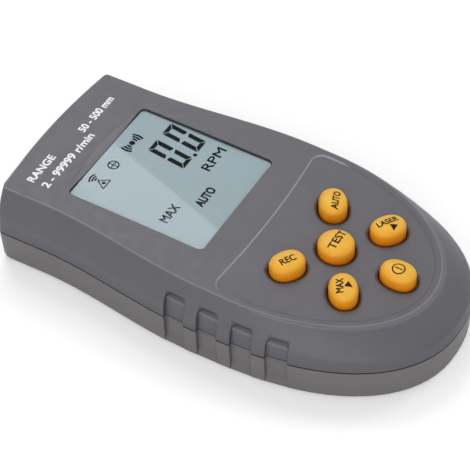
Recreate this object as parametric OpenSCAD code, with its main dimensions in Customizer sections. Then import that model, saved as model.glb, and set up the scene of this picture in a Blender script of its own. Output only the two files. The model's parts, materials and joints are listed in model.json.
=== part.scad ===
// Handheld laser tachometer with case, display, keypad, optics, board and battery bay.
// Millimetres. +Y is the measuring end, +Z is up, and the case rests on z = 0.

/* [Case] */
// Length from the measuring end to the round rear end
case_length = 128.4; // [126:0.1:150]
// Width across the widest part of the grip
case_width = 70; // [68:1:80]
// Width of the straight part beside the display
waist_width = 59.8; // [58.6:0.2:63]
// Height of the seam between the two shells
seam_height = 10.7; // [9.5:0.1:11.5]
// Height of the top face at the measuring end
face_height = 24.4; // [24:0.1:27]
// Fall of the crowned top face from the measuring end to the rear end
crown_fall = 5.4; // [4.5:0.1:6]
// Distance from the measuring end to where the top face starts to fall
crown_setback = 5.5; // [4:0.1:7]
// Wall thickness of both shells
wall = 1.9; // [1.6:0.1:2.2]
// Distance from the seam outline in to the ridge of the top face, at the sides
shoulder_side = 4; // [3.4:0.1:4.6]
// Distance from the seam outline in to the ridge of the top face, at the rear
shoulder_rear = 8.6; // [7:0.1:9.6]
// Distance from the seam outline in to the ridge of the top face, at the front
shoulder_front = 1.4; // [1:0.1:2.2]
// Inward taper of the lower shell from the seam to its bottom rounding
lower_taper = 0.5; // [0.3:0.1:1.4]
// Radius of the rounding around the bottom face
bottom_round = 1.5; // [1.2:0.1:2.4]
// Bow of the front edge over its width
front_bow = 2.4; // [1.4:0.1:3]
// Distance from the measuring end to where the sides start to flare
flare_setback = 16.4; // [14:0.1:20]
// Length over which the sides flare from the waist to the full width
flare_length = 50; // [44:1:54]
// Fullness of the round end in plan at the seam, where 2 is an ellipse
rear_fullness = 2.25; // [2.1:0.05:2.5]
// Fullness of the round end in plan at the top edge
ridge_fullness = 2.04; // [2:0.02:2.2]
// Gap that shows between the shells at the seam
seam_gap = 0.35; // [0.15:0.05:0.5]
// Height of the interlocking lip at the seam
lip_height = 1.2; // [0.8:0.1:1.6]

/* [Grip recesses] */
// Recesses on each side
grip_count = 4; // [2:1:4]
// Spacing of the recesses
grip_pitch = 10.05; // [9:0.05:10.4]
// Width of one recess
grip_width = 6.2; // [5.6:0.1:7]
// Depth of a recess
grip_depth = 1.2; // [0.5:0.1:1.25]
// Distance of the first recess from the measuring end
grip_start = 61.3; // [58:0.1:64]
// Height of the slope at the top of a recess
grip_ramp = 1.5; // [1:0.1:2.6]
// Distance from the top of a recess up to the ridge
grip_margin = 4; // [2.4:0.1:4.5]

/* [Display] */
// Width of the display opening
lcd_width = 38.8; // [34:0.2:39.4]
// Length of the display opening
lcd_length = 41.8; // [37:0.2:42.4]
// Distance from the measuring end to the display opening
lcd_setback = 19.5; // [19:0.1:22]
// Depth of the clear window below the face at both ends of the opening
lens_recess = 0.15; // [0.1:0.05:0.5]
// Thickness of the clear window
lens_thickness = 0.5; // [0.4:0.05:0.8]
// Gap around the clear window in the opening
lens_gap = 0.2; // [0.15:0.05:0.3]
// Thickness of the display cell
glass_thickness = 2.2; // [1.6:0.1:2.6]
// Corner radius of the display opening
lcd_corner = 1.6; // [1:0.1:2]

/* [Keypad] */
// Distance of the test key from the rear end
keypad_setback = 37.5; // [37:0.1:38.5]
// Bow of the front edge of the keypad recess towards the rear
panel_sag = 1.2; // [0.4:0.1:2]
// Depth of the keypad recess
panel_depth = 0.4; // [0.2:0.05:0.6]
// Width of the rim between the keypad recess and the ridge
panel_rim = 2.1; // [1.6:0.1:2.6]
// Distance of the test key from the front edge of the keypad recess
test_setback = 21; // [20:0.1:22]
// Diameter of the round test key
test_diameter = 10; // [9:0.1:10.4]
// Length of an oval key
key_length = 10; // [9:0.1:10.6]
// Width of an oval key
key_width = 7.8; // [7:0.1:8.4]
// Sideways distance of the four side keys from the middle
key_side = 12.7; // [12.2:0.1:13.2]
// Distance of the two upper side keys in front of the test key
key_upper = 7.7; // [7:0.1:8.4]
// Distance of the two lower side keys behind the test key
key_lower = 8.9; // [8.4:0.1:9.4]
// Distance of the power key behind the test key
key_power_drop = 18.4; // [17.8:0.1:18.8]
// Height of the keys above the keypad recess
key_rise = 4.2; // [2:0.1:4.4]
// Gap between a key and its hole
key_clearance = 1.1; // [0.8:0.05:1.2]
// Width of the flange under a key
key_flange = 1.9; // [1.7:0.1:2.1]
// Thickness of the flange under a key
flange_thickness = 0.9; // [0.7:0.1:1.1]
// Wall of the collar that guides a key
collar_wall = 0.9; // [0.7:0.1:1]

/* [Board and mat] */
// Thickness of the circuit board
board_thickness = 1.6; // [1:0.1:1.6]
// Thickness of the silicone mat
mat_thickness = 0.6; // [0.4:0.1:0.8]
// Height of a dome above the mat
dome_height = 1.15; // [1:0.05:1.3]
// Gap that separates fixed pieces
seat_gap = 0.05; // [0.03:0.01:0.1]

/* [Battery bay] */
// Diameter of a cell
cell_diameter = 10.5; // [10:0.1:10.6]
// Length of a cell with its button
cell_length = 44.5; // [42:0.1:45]
// Free play around a cell
cell_play = 0.2; // [0.12:0.02:0.24]
// Thickness of the battery cover
cover_thickness = 1.6; // [1.3:0.1:1.8]
// Gap around the battery cover
cover_gap = 0.25; // [0.2:0.05:0.4]
// Width of the ledge that the cover closes against
cover_ledge = 0.9; // [0.7:0.1:1]
// Compressed length of a contact spring
spring_length = 5.2; // [4.6:0.1:6]
// Distance from the rear end to the battery bay
bay_setback = 18.2; // [17.6:0.1:19]
// Wall of the battery bay
bay_wall = 1.2; // [1:0.1:1.4]

/* [Optics] */
// Thickness of the front window
filter_thickness = 1.2; // [1:0.1:1.4]
// Width of the front window
filter_width = 47; // [45:0.5:50]
// Bow of the filter in plan, flatter than the bow of the measuring end
filter_bow = 1.65; // [1.4:0.05:1.8]
// Distance from the ridge down to the top of the front window
filter_drop = 3; // [2.8:0.1:4]
// Height of the front window
filter_height = 15.5; // [13:0.1:16.5]
// Diameter of the laser barrel
laser_diameter = 6.5; // [5.5:0.1:7]
// Diameter of the receiver lens
receiver_diameter = 13; // [11:0.1:14]
// Distance between the laser and the receiver
optics_spacing = 17; // [15.5:0.1:18]

/* [Fasteners] */
// Diameter of a case screw
screw_diameter = 2.6; // [2.2:0.1:2.9]
// Diameter of a board screw
board_screw_diameter = 2; // [1.6:0.1:2.2]
// Gap around a screw in its hole
screw_gap = 0.1; // [0.05:0.05:0.2]

/* [Hidden] */
// Outline resolution along the front, a corner, a side and a rear quarter
front_steps = 8;
corner_steps = 4;
side_steps = 16;
rear_steps = 20;
// Points around an oval key
key_points = 44;
front_y = case_length / 2;
rear_y = -case_length / 2;
wide_half = case_width / 2;
waist_half = waist_width / 2;
corner_radius = 3;
flare_y = front_y - flare_setback;
wide_y = flare_y - flare_length - 8;
crown_start = front_y - crown_setback;
crown_radius = pow(crown_start - rear_y, 2) / (2 * crown_fall);

// The display lies parallel to the face, and its depths are counted from the top of the window
lcd_y = front_y - lcd_setback - lcd_length / 2;
lcd_rear_y = lcd_y - lcd_length / 2;
lcd_front_y = lcd_y + lcd_length / 2;
lcd_tilt = atan((crown(lcd_front_y) - crown(lcd_rear_y)) / lcd_length);
lens_top = (crown(lcd_front_y) + crown(lcd_rear_y)) / 2 - lens_recess;
glass_top = -lens_thickness - seat_gap;
glass_bottom = glass_top - glass_thickness;
glass_width = lcd_width - 2 * lens_gap;
glass_length = lcd_length - 2 * lens_gap;
frame_wall = 1.3;
frame_width = glass_width + 2 * frame_wall;
frame_length = glass_length + 2 * frame_wall;
frame_rim = 0.5;

// The board, mat and keys stack up from the battery bay
cell_z = cover_thickness + cell_play + cell_diameter / 2;
bay_top = cell_z + cell_diameter / 2 + cell_play;
bay_roof = 0.8;
board_bottom = bay_top + bay_roof + 0.2;
board_top = board_bottom + board_thickness;
mat_top = board_top + mat_thickness;
dome_top = mat_top + dome_height;
plunger_length = 0.3;
flange_bottom = dome_top + seat_gap + plunger_length;
key_seat = flange_bottom + flange_thickness + seat_gap;
key_foot_radius = 2;
dome_share = 0.62;

// Keypad layout, each key as x, y and turn about Z
test_y = rear_y + keypad_setback;
panel_y = min(test_y + test_setback, lcd_rear_y - 3);
rec_at = [-key_side, test_y + key_upper, 148.8];
auto_at = [key_side, test_y + key_upper, 31.2];
max_at = [-key_side, test_y - key_lower, 215];
laser_at = [key_side, test_y - key_lower, -35];
power_at = [0, test_y - key_power_drop, -90];
oval_keys = [rec_at, auto_at, max_at, laser_at, power_at];

// Battery bay
cell_pitch = cell_diameter + 2 * cell_play;
bay_half = 1.5 * cell_pitch + cell_play;
bay_rear = rear_y + bay_setback;
contact_thickness = 0.4;
bay_front = bay_rear + cell_length + spring_length + 2 * contact_thickness + 6 * seat_gap;
cell_front = bay_front - contact_thickness - 2 * seat_gap;
cell_back = bay_rear + contact_thickness + 2 * seat_gap;
button_length = 1.1;
contact_bottom = cell_z - 2.6;
contact_top = cell_z + 4;
lead_radius = 0.6;
lead_z = cell_z + 2;
opening_front = bay_front + cover_ledge;
opening_rear = bay_rear - cover_ledge;
opening_half = bay_half + cover_ledge;
hook_width = 2.8;
hook_reach = 1.8;
hook_top = cover_thickness + 1.6;
latch_width = 12;
latch_top = contact_bottom - 0.3;

// Optics behind the front window
optics_z = seam_height;
filter_radius = waist_half * waist_half / (2 * filter_bow);
filter_top = crown(front_y) - filter_drop;
filter_bottom = filter_top - filter_height;
laser_x = -optics_spacing / 2;
receiver_x = optics_spacing / 2;
bracket_back = front_y - 16;
bracket_front = front_y - 9;
barrel_back = front_y - 16.4;
barrel_front = front_y - 4.2;
laser_bore = laser_diameter / 2 - 0.85;

// Fasteners
boss_radius = screw_diameter / 2 + 1.6;
front_screw = [waist_half - 6, front_y - 13.6];
rear_screw = [wide_half - 9.8, rear_y + 38];
case_screw_at = [front_screw, [-front_screw[0], front_screw[1]], rear_screw, [-rear_screw[0], rear_screw[1]]];
screw_head = 1.85 * screw_diameter;
screw_head_height = 0.7 * screw_diameter;
board_screw_head = 1.8 * board_screw_diameter;
board_screw_head_height = 0.55 * board_screw_diameter;
screw_seat = 3.2;
post_radius = board_screw_diameter / 2 + 1.3;
front_post = [frame_width / 2 + 4.2, lcd_y - 11];
rear_post = [max(wide_half - 13.5, bay_half + bay_wall + board_screw_head / 2 + screw_gap),
  rear_y + 24];
board_screw_at = [front_post, [-front_post[0], front_post[1]], rear_post, [-rear_post[0], rear_post[1]]];
board_front = lcd_y + frame_length / 2 - 0.5;

function lerp(a, b, t) = a + (b - a) * t;
function ease(t) = t <= 0 ? 0 : t >= 1 ? 1 : t * t * (3 - 2 * t);
function crown(y) = face_height - pow(max(crown_start - y, 0), 2) / (2 * crown_radius);

// Half outline, from the middle of the front to the middle of the rear
function half_plan(front, bow, corner, hf, hw, rear, n) =
  let (cx = hf - corner)
  let (a = atan(2 * bow * cx / (hf * hf)))
  let (xe = cx + corner * sin(a))
  let (cy = front - bow * pow(xe / hf, 2) - corner * cos(a))
  concat(
    [for (i = [0:front_steps - 1]) [xe * i / front_steps, front - bow * pow(xe * i / front_steps / hf, 2)]],
    [for (i = [0:corner_steps - 1]) let (t = lerp(90 - a, 0, i / corner_steps))
      [cx + corner * cos(t), cy + corner * sin(t)]],
    [for (i = [0:side_steps - 1]) let (y = lerp(cy, wide_y, i / side_steps))
      [hf + (hw - hf) * ease((flare_y - y) / flare_length), y]],
    [for (i = [0:rear_steps]) let (t = 90 * i / rear_steps)
      [hw * pow(abs(cos(t)), 2 / n), wide_y - (wide_y - rear) * pow(abs(sin(t)), 2 / n)]]
  );

// Seam, ridge and bottom outlines, each set in by a distance
function seam_plan(i) = half_plan(front_y - i, front_bow, corner_radius, waist_half - i, wide_half - i,
  rear_y + i, rear_fullness);
function ridge_plan(i) = half_plan(front_y - shoulder_front - i, front_bow - 0.6, 1,
  waist_half - shoulder_side + 0.4 - i, wide_half - shoulder_side - 0.2 - i,
  rear_y + shoulder_rear + i, ridge_fullness);
function blend(a, b, t) = [for (i = [0:len(a) - 1]) lerp(a[i], b[i], t)];

// Inset of the shoulder at a fraction of its height: an upright wall, then a sloping shoulder
crease = 0.36;
crease_inset = 0.07;
function shoulder(g) =
  let (t = (g - crease) / (1 - crease))
  g < crease ? crease_inset * g / crease : lerp(crease_inset, 1, 0.7 * t + 0.3 * t * t);

// Rings of a loft: an outline put at a height, or between the seam and the crown
function at_z(h, z) = [for (p = h) [p[0], p[1], z]];
function up_shoulder(i, drop, g) =
  [for (p = blend(seam_plan(i), ridge_plan(i), shoulder(g)))
    [p[0], p[1], lerp(seam_height, crown(p[1]) - drop, g)]];
function on_crown(h, drop) = [for (p = h) [p[0], p[1], crown(p[1]) - drop]];
function ring(h) = concat(h, [for (i = [len(h) - 2:-1:1]) [-h[i][0], h[i][1], h[i][2]]]);

// Solid through rings of equal length, each symmetric about its first point
module loft(rings) {
  n = len(rings[0]);
  m = n / 2;
  sides = [for (r = [0:len(rings) - 2]) for (i = [0:n - 1]) let (j = (i + 1) % n)
    for (f = [[r * n + i, r * n + j, (r + 1) * n + j], [r * n + i, (r + 1) * n + j, (r + 1) * n + i]]) f];
  q = (len(rings) - 1) * n;
  top = [for (i = [0:m - 1]) for (f = [
    i < m - 1 ? [q + i, q + i + 1, q + n - i - 1] : [q + i, q + i + 1, q + n - i],
    i > 0 && i < m - 1 ? [q + i, q + n - i - 1, q + n - i] : []]) if (len(f) == 3) f];
  low = [for (i = [0:m - 1]) for (f = [
    i < m - 1 ? [i, n - i - 1, i + 1] : [i, n - i, i + 1],
    i > 0 && i < m - 1 ? [i, n - i, n - i - 1] : []]) if (len(f) == 3) f];
  polyhedron(points = [for (r = rings) each r], faces = concat(low, sides, top));
}

// Oval in plan, first point on its short axis
function oval(a, b, n) = [for (i = [0:key_points - 1]) let (t = 360 * i / key_points)
  [a * sign(sin(t)) * pow(abs(sin(t)), 2 / n), b * sign(cos(t)) * pow(abs(cos(t)), 2 / n)]];
function oval_ring(a, b, z) = at_z(oval(a, b, 2.2), z);

module box(w, l, z0, z1) {
  translate([-w / 2, -l / 2, z0])
    cube([w, l, z1 - z0]);
}

module rounded_box(w, l, r, z0, z1) {
  translate([0, 0, z0])
    linear_extrude(z1 - z0)
      union() {
        square([w - 2 * r, l], center = true);
        square([w, l - 2 * r], center = true);
        for (x = [-1, 1])
          for (y = [-1, 1])
            translate([x * (w / 2 - r), y * (l / 2 - r)])
              circle(r, $fn = 48);
      }
}

module rod(p, r, z0, z1) {
  translate([p[0], p[1], z0])
    cylinder(r = r, h = z1 - z0, $fn = 48);
}

// Round bar along Y
module bar(x, z, r, y0, y1) {
  translate([x, y0, z])
    rotate([-90, 0, 0])
      cylinder(r = r, h = y1 - y0, $fn = 64);
}

module oval_prism(k, grow, z0, z1) {
  translate([k[0], k[1], z0])
    rotate([0, 0, k[2]])
      linear_extrude(z1 - z0)
        polygon(oval(key_length / 2 + grow, key_width / 2 + grow, 2.2));
}

// Shell blanks
module top_blank() {
  inner = [for (g = [1, 0.84, 0.68, 0.52, crease, 0]) ring(up_shoulder(wall, wall, g))];
  lip = [ring(at_z(seam_plan(wall), seam_height - lip_height)),
    ring(at_z(seam_plan(wall * 0.55), seam_height - lip_height)),
    ring(at_z(seam_plan(wall * 0.55), seam_height))];
  outer = [for (g = [0, crease - 0.04, crease + 0.04, 0.5, 0.62, 0.74, 0.86, 0.98])
    ring(up_shoulder(0, 0, g))];
  edge = [ring(on_crown(ridge_plan(0.1), 0.06)), ring(on_crown(ridge_plan(0.4), 0))];
  loft(concat(inner, lip, outer, edge));
}

module bottom_blank() {
  turn = [for (a = [0, 30, 60, 90]) ring(at_z(seam_plan(lower_taper + bottom_round * (1 - sin(a))),
    bottom_round * (1 - cos(a))))];
  top_edge = seam_height - seam_gap;
  ledge = seam_height - seat_gap - lip_height;
  rim = [ring(at_z(seam_plan(0), top_edge)),
    ring(at_z(seam_plan(wall * 0.55 - seat_gap), top_edge)),
    ring(at_z(seam_plan(wall * 0.55 - seat_gap), ledge)),
    ring(at_z(seam_plan(wall), ledge))];
  inner = [ring(at_z(seam_plan(wall + lower_taper), wall + 1.2)),
    ring(at_z(seam_plan(wall + lower_taper + 1), wall))];
  loft(concat(turn, rim, inner));
}

// Grip recesses: a band one recess depth under the side profile, cut to a round-topped window
function side_half(y, i) =
  let (a = waist_half - i)
  y > wide_y ? a + (wide_half - waist_half) * ease((flare_y - y) / flare_length)
    : (wide_half - i) * pow(1 - pow((wide_y - y) / (wide_y - rear_y - i), rear_fullness), 1 / rear_fullness);
module grip_cut(y, side) {
  w = side_half(y, 0);
  top = crown(y);
  high = top - seam_height;
  slope = (side_half(y - 1, 0) - side_half(y + 1, 0)) / 2;
  upper = top - grip_margin;
  lower = -2;
  function full(z) = min(1, max(0, (upper - z) / grip_ramp));
  function inset(z) = let (g = (z - seam_height) / high)
    g < 0 ? lower_taper * -g * high / seam_height : shoulder_side * shoulder(g);
  floor_line = [for (z = [lower, seam_height, seam_height + crease * high, upper - grip_ramp,
    upper - grip_ramp / 2, upper]) [-grip_depth * full(z) - inset(z), z]];
  mirror([side < 0 ? 1 : 0, 0, 0])
    intersection() {
      translate([w, y, 0])
        rotate([0, 0, atan(slope)])
          rotate([90, 0, 0])
            translate([0, 0, -grip_width])
              linear_extrude(2 * grip_width)
                polygon(concat(floor_line, [[8, upper], [8, lower]]));
      translate([0, y, (upper + lower) / 2])
        rotate([90, 0, 90])
          rounded_box(grip_width, upper - lower, 0.38 * grip_width, 10, 50);
    }
}
module grip_cuts() {
  for (i = [0:grip_count - 1])
    for (s = [-1, 1])
      grip_cut(front_y - grip_start - i * grip_pitch, s);
}

// Front window seat, open through the wall behind it
module filter_seat() {
  intersection() {
    translate([0, front_y, (filter_top + filter_bottom) / 2])
      rotate([90, 0, 0])
        rounded_box(filter_width + 4 * seat_gap, filter_height + 4 * seat_gap, 2.1, -8, 8);
    difference() {
      translate([0, front_y - 8, 0])
        box(filter_width + 10, 24, 0, face_height);
      translate([0, front_y - filter_radius, -1])
        cylinder(r = filter_radius - filter_thickness - seat_gap, h = 40, $fn = 360);
    }
  }
  translate([0, front_y, (filter_top + filter_bottom) / 2])
    rotate([90, 0, 0])
      rounded_box(filter_width - 4, filter_height - 3, 1.5, -1, 10);
}

// Keypad recess with sloped walls, cut down to a slab that follows the crown
panel_corner = 3;
panel_ridge = ridge_plan(panel_rim);
panel_first = [for (k = [0:len(panel_ridge) - 1]) if (panel_ridge[k][1] < panel_y - panel_corner - 0.2) k][0];
panel_half = panel_ridge[panel_first][0];
function panel_ring(inset, drop) =
  let (flat = panel_half - panel_corner)
  let (r = panel_corner - inset)
  let (side = ridge_plan(panel_rim + inset))
  ring(on_crown(concat(
    [for (i = [0:4]) [flat * i / 5, panel_y - inset - panel_sag * (1 - pow(i / 5, 2))]],
    [for (t = [90:-18:18]) [flat + r * cos(t), panel_y - panel_corner + r * sin(t)]],
    [for (k = [panel_first:len(side) - 1]) side[k]]), drop));
module keypad_recess() {
  over = 1;
  low = panel_ring(over, panel_depth + over);
  high = panel_ring(-panel_depth - over, -over);
  n = len(low);
  mid_y = (panel_y + rear_y) / 2;
  mid = [[0, mid_y, crown(mid_y) - panel_depth - over], [0, mid_y, crown(mid_y) + over]];
  points = concat(low, high, mid);
  faces = [for (i = [0:n - 1]) let (j = (i + 1) % n)
    for (f = [[i, j, n + j], [i, n + j, n + i], [i, 2 * n, j], [n + i, n + j, 2 * n + 1]]) f];
  intersection() {
    polyhedron(points = points, faces = faces);
    crown_slab(panel_depth);
  }
}
module crown_slab(drop) {
  strip = 3;
  n = ceil((panel_y + 2 - rear_y) / strip);
  rotate([90, 0, 90])
    translate([0, 0, -wide_half])
      linear_extrude(case_width)
        polygon(concat([for (i = [0:n]) let (y = rear_y + strip * i) [y, crown(y) - drop]],
          [[rear_y + strip * n, face_height + 5], [rear_y, face_height + 5]]));
}

module top_shell() {
  color("dimgray")
    difference() {
      union() {
        top_blank();
        for (p = case_screw_at)
          rod(p, boss_radius, seam_height + 0.5, crown(p[1]) - wall / 2 - 0.2);
        for (p = board_screw_at)
          rod(p, post_radius, board_top + seat_gap, crown(p[1]) - wall);
        for (k = oval_keys)
          oval_prism(k, key_clearance + collar_wall, key_seat, crown(k[1] - 7.5) - panel_depth - 0.3);
        rod([0, test_y], test_diameter / 2 + key_clearance + collar_wall, key_seat,
          crown(test_y - 7.5) - panel_depth - 0.3);
      }
      translate([0, lcd_y, 0])
        rounded_box(lcd_width, lcd_length, lcd_corner, board_top, face_height + 5);
      lcd_bevel();
      keypad_recess();
      for (k = oval_keys)
        oval_prism(k, key_clearance, key_seat - 1, face_height + 5);
      rod([0, test_y], test_diameter / 2 + key_clearance, key_seat - 1, face_height + 5);
      for (p = case_screw_at)
        rod(p, screw_diameter / 2 + screw_gap, seam_height - 1, seam_height + 7);
      for (p = board_screw_at)
        rod(p, board_screw_diameter / 2 + screw_gap, board_top - 1, board_top + 2.2);
      filter_seat();
      grip_cuts();
    }
}

// Sloped facet that dips to the window along the front edge of the opening
module lcd_bevel() {
  r = 62;
  edge = lcd_y + lcd_length / 2;
  intersection() {
    translate([0, edge + 2.2 - r, crown(edge) - 1])
      cylinder(r1 = r - 2.4, r2 = r + 2.4, h = 2, $fn = 360);
    translate([0, edge, 0])
      box(lcd_width - 1, 8, lens_top - 1, face_height + 2);
  }
}

module bottom_shell() {
  color("gray")
    difference() {
      union() {
        bottom_blank();
        for (p = case_screw_at)
          rod(p, boss_radius, wall / 2, seam_height - seat_gap);
        translate([0, (bay_front + bay_rear) / 2, 0])
          box(2 * (bay_half + bay_wall), bay_front - bay_rear + 2 * bay_wall, wall / 2, bay_top + bay_roof);
        for (s = [-1, 1])
          rod([s * 13, bracket_front - 3.5], 2.4, wall / 2, optics_z - 6 - seat_gap);
      }
      translate([0, (bay_front + bay_rear) / 2, 0])
        box(2 * bay_half, bay_front - bay_rear, -1, bay_top);
      translate([0, (opening_front + opening_rear) / 2, 0])
        box(2 * opening_half, opening_front - opening_rear, -1, cover_thickness + seat_gap);
      for (s = [-1, 1])
        translate([s * cell_pitch / 2, bay_front + 2, 0])
          box(hook_width + 0.8, 6, cover_thickness, hook_top + 1);
      translate([0, bay_rear, 0])
        box(latch_width + 1, 2 * 0.9, -1, latch_top + 0.4);
      bar(cell_pitch, lead_z, lead_radius + 0.3, bay_front - 1, bay_front + bay_wall + 1);
      bar(-cell_pitch, lead_z, lead_radius + 0.3, bay_rear - bay_wall - 1, bay_rear + 1);
      for (p = case_screw_at) {
        rod(p, screw_diameter / 2 + screw_gap, -1, seam_height + 1);
        rod(p, screw_head / 2 + screw_gap, -1, screw_seat);
      }
      filter_seat();
      grip_cuts();
    }
}

// Cover with two hooks that reach over the edge of its opening and a finger latch at the rear
module battery_cover() {
  l = opening_front - opening_rear - 2 * cover_gap;
  y0 = opening_rear + cover_gap;
  color("gray")
    difference() {
      union() {
        translate([0, y0 + l / 2, 0])
          rounded_box(2 * (opening_half - cover_gap), l, 0.8, 0, cover_thickness);
        for (s = [-1, 1])
          translate([s * cell_pitch / 2 - hook_width / 2, opening_front, 0])
            rotate([90, 0, 90])
              linear_extrude(hook_width)
                polygon([[-2.4, cover_thickness - 0.4], [-2.4, hook_top - 0.6], [-1.8, hook_top],
                  [hook_reach - 0.4, hook_top], [hook_reach, hook_top - 0.4], [hook_reach, wall + 0.15],
                  [-cover_gap - 0.2, wall + 0.15], [-cover_gap - 0.2, cover_thickness - 0.4]]);
        translate([0, opening_rear + cover_ledge + 0.05, 0])
          box(latch_width, 0.9, cover_thickness - 0.4, latch_top);
      }
      translate([0, y0 + 5, -6.4])
        sphere(r = 7.2, $fn = 96);
      for (i = [0:3])
        translate([0, y0 + 11 + 2.2 * i, 0])
          box(16, 0.9, -1, 0.4);
    }
}

module front_window() {
  color([0.08, 0.03, 0.03])
    intersection() {
      difference() {
        translate([0, front_y - filter_radius, filter_bottom])
          cylinder(r = filter_radius, h = filter_height, $fn = 360);
        translate([0, front_y - filter_radius, filter_bottom - 1])
          cylinder(r = filter_radius - filter_thickness, h = filter_height + 2, $fn = 360);
      }
      translate([0, front_y, (filter_top + filter_bottom) / 2])
        rotate([90, 0, 0])
          rounded_box(filter_width, filter_height, 2, -8, 8);
    }
}

// Puts a piece of the display in its tilted place, under the top of the window
module on_tilt() {
  translate([0, lcd_y, lens_top])
    rotate([lcd_tilt, 0, 0])
      children();
}

module lcd_window() {
  color([0.8, 0.86, 0.88])
    on_tilt()
      rounded_box(glass_width, glass_length, lcd_corner - lens_gap, -lens_thickness, 0);
}

module lcd_glass() {
  color([0.62, 0.7, 0.7])
    on_tilt()
      rounded_box(glass_width, glass_length, lcd_corner - lens_gap, glass_bottom, glass_top);
}

module lcd_frame() {
  ledge = glass_length / 2 - 4.4;
  color("white")
    difference() {
      translate([0, lcd_y, 0])
        rounded_box(frame_width, frame_length, 1, board_top + seat_gap, lens_top);
      on_tilt()
        box(frame_width + 2, frame_length + 4, glass_bottom + frame_rim, face_height);
      on_tilt()
        box(glass_width + 4 * seat_gap, glass_length + 4 * seat_gap, glass_bottom - seat_gap, face_height);
      translate([0, lcd_y, 0])
        box(glass_width - 3, 2 * ledge, board_top - 1, face_height);
      for (s = [-1, 1])
        translate([0, lcd_y + s * (ledge + 2.2), 0])
          box(glass_width - 3, 2, board_top - 1, face_height);
    }
}

module zebra_strips() {
  strip_width = 1.7;
  ledge = glass_length / 2 - 4.4;
  color("pink")
    for (s = [-1, 1])
      translate([0, lcd_y + s * (ledge + 2.2), 0])
        box(glass_width - 3.4, strip_width, board_top + seat_gap, lens_top + glass_bottom - seat_gap
          + (s * (ledge + 2.2) - strip_width / 2) * tan(lcd_tilt));
}

module main_board() {
  h = blend(seam_plan(wall + 1.6), ridge_plan(wall + 1.6), shoulder(0.62));
  side = [for (p = h) if (p[1] < board_front) p];
  edge = concat([[0, board_front], [side[0][0], board_front]], side);
  outline = concat(edge, [for (i = [len(edge) - 2:-1:1]) [-edge[i][0], edge[i][1]]]);
  color("darkgreen")
    difference() {
      translate([0, 0, board_bottom])
        linear_extrude(board_thickness)
          polygon(outline);
      for (p = case_screw_at)
        rod(p, boss_radius + 0.4, board_bottom - 1, board_top + 1);
      for (p = board_screw_at)
        rod(p, board_screw_diameter / 2 + screw_gap, board_bottom - 1, board_top + 1);
    }
}

module key_mat() {
  color("lightgray")
    difference() {
      union() {
        translate([0, test_y - 5, 0])
          rounded_box(2 * key_side + 11, key_upper + key_power_drop + 13, 4, board_top, mat_top);
        for (k = concat(oval_keys, [[0, test_y, 0]]))
          translate([k[0], k[1], mat_top])
            cylinder(r1 = 3.4, r2 = 2.2, h = dome_height, $fn = 48);
      }
      for (k = concat(oval_keys, [[0, test_y, 0]]))
        translate([k[0], k[1], board_top - 0.01])
          cylinder(r1 = 2.8, r2 = 1.6, h = mat_thickness + dome_height - 0.6, $fn = 48);
      for (p = board_screw_at)
        rod(p, post_radius + 0.4, board_top - 1, mat_top + 1);
    }
}

// Domed oval key with a flange that stops under its collar and a foot that meets the mat
module oval_key(k) {
  a = key_length / 2;
  b = key_width / 2;
  base = crown(k[1]) - panel_depth;
  flange_top_z = flange_bottom + flange_thickness;
  body = [ring_of(a + key_flange, b + key_flange, flange_bottom),
    ring_of(a + key_flange, b + key_flange, flange_top_z),
    ring_of(a, b, flange_top_z),
    ring_of(a, b, base + 0.45 * key_rise)];
  dome = [for (t = [12:14:82]) let (i = dome_share * b * (1 - cos(t)))
    ring_of(a - i, b - i, base + key_rise * (0.45 + 0.5 * sin(t)))];
  cap = [ring_of(a - 0.88 * b, 0.12 * b, base + key_rise)];
  color([0.95, 0.68, 0.2])
    union() {
      translate([k[0], k[1], 0])
        rotate([0, 0, k[2]])
          loft(concat(body, dome, cap));
      rod([k[0], k[1]], key_foot_radius, dome_top + seat_gap, flange_bottom + 0.2);
    }
}
function ring_of(a, b, z) = oval_ring(a, b, z);

module key_test() {
  r = test_diameter / 2;
  base = crown(test_y) - panel_depth;
  z1 = base + 0.45 * key_rise;
  color([0.95, 0.68, 0.2])
    translate([0, test_y, 0])
      rotate_extrude($fn = 96)
        polygon(concat([[0, dome_top + seat_gap], [key_foot_radius, dome_top + seat_gap],
          [key_foot_radius, flange_bottom], [r + key_flange, flange_bottom],
          [r + key_flange, flange_bottom + flange_thickness], [r, flange_bottom + flange_thickness], [r, z1]],
          [for (t = [12:14:82]) [r - dome_share * r * (1 - cos(t)), z1 + 0.5 * key_rise * sin(t)]],
          [[0.2 * r, base + key_rise], [0, base + key_rise]]));
}
module key_rec() {
  oval_key(rec_at);
}
module key_auto() {
  oval_key(auto_at);
}
module key_max() {
  oval_key(max_at);
}
module key_laser() {
  oval_key(laser_at);
}
module key_power() {
  oval_key(power_at);
}

module controller_chip() {
  color([0.12, 0.12, 0.12])
    translate([0, lcd_y, 0])
      rounded_box(12, 12, 0.4, board_top + seat_gap, board_top + 1.6);
}

module crystal() {
  color("silver")
    translate([14, lcd_y + 4, 0])
      rounded_box(10.2, 4.6, 2.2, board_bottom - 3.4, board_bottom - seat_gap);
}

// Cell along Y, its button to the front or to the rear
module cell(x, forward) {
  r = cell_diameter / 2;
  y0 = forward ? cell_front - cell_length : cell_back;
  can = cell_length - button_length;
  color("silver")
    union() {
      bar(x, cell_z, r, forward ? y0 : y0 + button_length, forward ? y0 + can : y0 + cell_length);
      bar(x, cell_z, 1.9, forward ? y0 + can - 1 : y0, forward ? y0 + cell_length : y0 + button_length + 1);
    }
}
module cell_left() {
  cell(-cell_pitch, true);
}
module cell_middle() {
  cell(0, false);
}
module cell_right() {
  cell(cell_pitch, true);
}

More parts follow.
